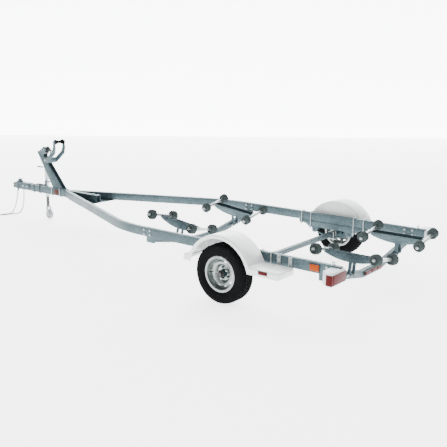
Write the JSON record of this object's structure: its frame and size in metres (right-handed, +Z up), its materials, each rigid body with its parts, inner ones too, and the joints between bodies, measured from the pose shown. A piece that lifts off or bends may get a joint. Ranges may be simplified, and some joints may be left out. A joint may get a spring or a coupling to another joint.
{
  "type": "boat trailer",
  "caption": "Single-axle roller boat trailer with rocking roller cradles, winch stand and swing-up tongue jack, parked on the jack",
  "frame": {"origin": "on the ground, at the middle of the trailer's length and width, the chains not counted", "axes": "+X points forward to the coupler, +Y to the left, +Z up; 1 unit is 1 metre"},
  "size_m": [6.7211, 2.59, 1.265],
  "materials": {
    "amber_lens": "amber lens, gloss",
    "black_paint": "black paint, satin",
    "bright_zinc": "zinc-plated, satin",
    "chain_zinc": "zinc-plated chain",
    "galvanised_steel": "hot-dip galvanised, dull spangle",
    "hub_zinc": "galvanised, satin",
    "jack_wheel_plastic": "black moulded plastic",
    "lamp_housing": "pale moulded housing",
    "red_lens": "red lens, gloss",
    "roller_rubber": "dark grey rubber, matt",
    "tyre_rubber": "black tyre rubber, matt",
    "wheel_zinc": "galvanised pressed steel, satin",
    "white_plastic": "white moulded plastic, soft gloss"
  },
  "bodies": {
    "frame": {"rail_left": "galvanised_steel", "rail_right": "galvanised_steel", "tongue": "galvanised_steel", "tongue_gusset": "galvanised_steel", "front_crossmember": "galvanised_steel", "rear_crossmember": "galvanised_steel", "cradle_pivots": "galvanised_steel", "axle": "galvanised_steel", "leaf_springs": "galvanised_steel", "spring_channels": "galvanised_steel", "axle_clamps": "bright_zinc", "frame_clamps": "bright_zinc", "fender_left": "white_plastic", "fender_right": "white_plastic", "fender_brackets": "bright_zinc", "coupler": "galvanised_steel", "coupler_latch": "galvanised_steel", "winch_stand": "galvanised_steel", "winch": "galvanised_steel", "winch_handle": "black_paint", "bow_bracket": "galvanised_steel", "jack_bracket": "galvanised_steel", "tail_lights": "lamp_housing", "tail_lenses": "red_lens", "side_markers": "amber_lens", "fender_markers": "red_lens", "rear_light_bar": "red_lens", "tie_down_loops": "bright_zinc", "chain_left": "chain_zinc", "chain_right": "chain_zinc", "chain_hooks": "chain_zinc"},
    "wheel_left": {"tyre_left": "tyre_rubber", "rim_left": "wheel_zinc", "hub_left": "hub_zinc"},
    "wheel_right": {"tyre_right": "tyre_rubber", "rim_right": "wheel_zinc", "hub_right": "hub_zinc"},
    "cradle_body_front_left": {"cradle_front_left": "galvanised_steel", "arms_front_left": "bright_zinc"},
    "roller_pair_front_left_fore": {"rollers_front_left_fore": "roller_rubber"},
    "roller_pair_front_left_aft": {"rollers_front_left_aft": "roller_rubber"},
    "cradle_body_front_right": {"cradle_front_right": "galvanised_steel", "arms_front_right": "bright_zinc"},
    "roller_pair_front_right_fore": {"rollers_front_right_fore": "roller_rubber"},
    "roller_pair_front_right_aft": {"rollers_front_right_aft": "roller_rubber"},
    "cradle_body_rear_left": {"cradle_rear_left": "galvanised_steel", "arms_rear_left": "bright_zinc"},
    "roller_pair_rear_left_fore": {"rollers_rear_left_fore": "roller_rubber"},
    "roller_pair_rear_left_aft": {"rollers_rear_left_aft": "roller_rubber"},
    "cradle_body_rear_right": {"cradle_rear_right": "galvanised_steel", "arms_rear_right": "bright_zinc"},
    "roller_pair_rear_right_fore": {"rollers_rear_right_fore": "roller_rubber"},
    "roller_pair_rear_right_aft": {"rollers_rear_right_aft": "roller_rubber"},
    "bow_roller_body": {"bow_roller": "roller_rubber"},
    "jack_body": {"jack_tube": "galvanised_steel", "jack_crank": "black_paint"},
    "jack_leg_body": {"jack_leg": "black_paint"},
    "jack_fork_body": {"jack_fork": "galvanised_steel"},
    "jack_wheel_body": {"jack_wheel": "jack_wheel_plastic"}
  },
  "joints": [
    {"name": "wheel_spin_left", "type": "hinge", "parent": "frame", "child": "wheel_left", "pos_m": [-1.888, 1.178, 0.3], "axis": [0, 1, 0], "continuous": true},
    {"name": "wheel_spin_right", "type": "hinge", "parent": "frame", "child": "wheel_right", "pos_m": [-1.888, -1.178, 0.3], "axis": [0, 1, 0], "continuous": true},
    {"name": "cradle_rock_front_left", "type": "hinge", "parent": "frame", "child": "cradle_body_front_left", "pos_m": [-0.698, 0.54, 0.32909], "axis": [0, 0.9816, 0.1908], "range_deg": [-8, 22]},
    {"name": "roller_spin_front_left_fore", "type": "hinge", "parent": "cradle_body_front_left", "child": "roller_pair_front_left_fore", "pos_m": [-0.41033, 0.49385, 0.56651], "axis": [0, 0.9816, 0.1908], "continuous": true},
    {"name": "roller_spin_front_left_aft", "type": "hinge", "parent": "cradle_body_front_left", "child": "roller_pair_front_left_aft", "pos_m": [-1.03564, 0.5085, 0.49114], "axis": [0, 0.9816, 0.1908], "continuous": true},
    {"name": "cradle_rock_front_right", "type": "hinge", "parent": "frame", "child": "cradle_body_front_right", "pos_m": [-0.698, -0.54, 0.32909], "axis": [0, 0.9816, -0.1908], "range_deg": [-8, 22]},
    {"name": "roller_spin_front_right_fore", "type": "hinge", "parent": "cradle_body_front_right", "child": "roller_pair_front_right_fore", "pos_m": [-0.41033, -0.49385, 0.56651], "axis": [0, 0.9816, -0.1908], "continuous": true},
    {"name": "roller_spin_front_right_aft", "type": "hinge", "parent": "cradle_body_front_right", "child": "roller_pair_front_right_aft", "pos_m": [-1.03564, -0.5085, 0.49114], "axis": [0, 0.9816, -0.1908], "continuous": true},
    {"name": "cradle_rock_rear_left", "type": "hinge", "parent": "frame", "child": "cradle_body_rear_left", "pos_m": [-2.93, 0.54, 0.32909], "axis": [0, 0.9816, 0.1908], "range_deg": [-15, 15]},
    {"name": "roller_spin_rear_left_fore", "type": "hinge", "parent": "cradle_body_rear_left", "child": "roller_pair_rear_left_fore", "pos_m": [-2.615, 0.50088, 0.53032], "axis": [0, 0.9816, 0.1908], "continuous": true},
    {"name": "roller_spin_rear_left_aft", "type": "hinge", "parent": "cradle_body_rear_left", "child": "roller_pair_rear_left_aft", "pos_m": [-3.245, 0.50088, 0.53032], "axis": [0, 0.9816, 0.1908], "continuous": true},
    {"name": "cradle_rock_rear_right", "type": "hinge", "parent": "frame", "child": "cradle_body_rear_right", "pos_m": [-2.93, -0.54, 0.32909], "axis": [0, 0.9816, -0.1908], "range_deg": [-15, 15]},
    {"name": "roller_spin_rear_right_fore", "type": "hinge", "parent": "cradle_body_rear_right", "child": "roller_pair_rear_right_fore", "pos_m": [-2.615, -0.50088, 0.53032], "axis": [0, 0.9816, -0.1908], "continuous": true},
    {"name": "roller_spin_rear_right_aft", "type": "hinge", "parent": "cradle_body_rear_right", "child": "roller_pair_rear_right_aft", "pos_m": [-3.245, -0.50088, 0.53032], "axis": [0, 0.9816, -0.1908], "continuous": true},
    {"name": "bow_roller_spin", "type": "hinge", "parent": "frame", "child": "bow_roller_body", "pos_m": [2.132, 0, 1.227], "axis": [0, 1, 0], "continuous": true},
    {"name": "jack_swing", "type": "hinge", "parent": "frame", "child": "jack_body", "pos_m": [2.612, -0.1105, 0.481], "axis": [0, 1, 0], "range_deg": [0, 90]},
    {"name": "jack_slide", "type": "slide", "parent": "jack_body", "child": "jack_leg_body", "axis": [0, 0, 1], "range_m": [0, 0.14]},
    {"name": "jack_swivel", "type": "hinge", "parent": "jack_leg_body", "child": "jack_fork_body", "pos_m": [2.612, -0.1105, 0.2], "axis": [0, 0, 1], "continuous": true},
    {"name": "jack_roll", "type": "hinge", "parent": "jack_fork_body", "child": "jack_wheel_body", "pos_m": [2.587, -0.1105, 0.075], "axis": [0, 1, 0], "continuous": true}
  ]
}
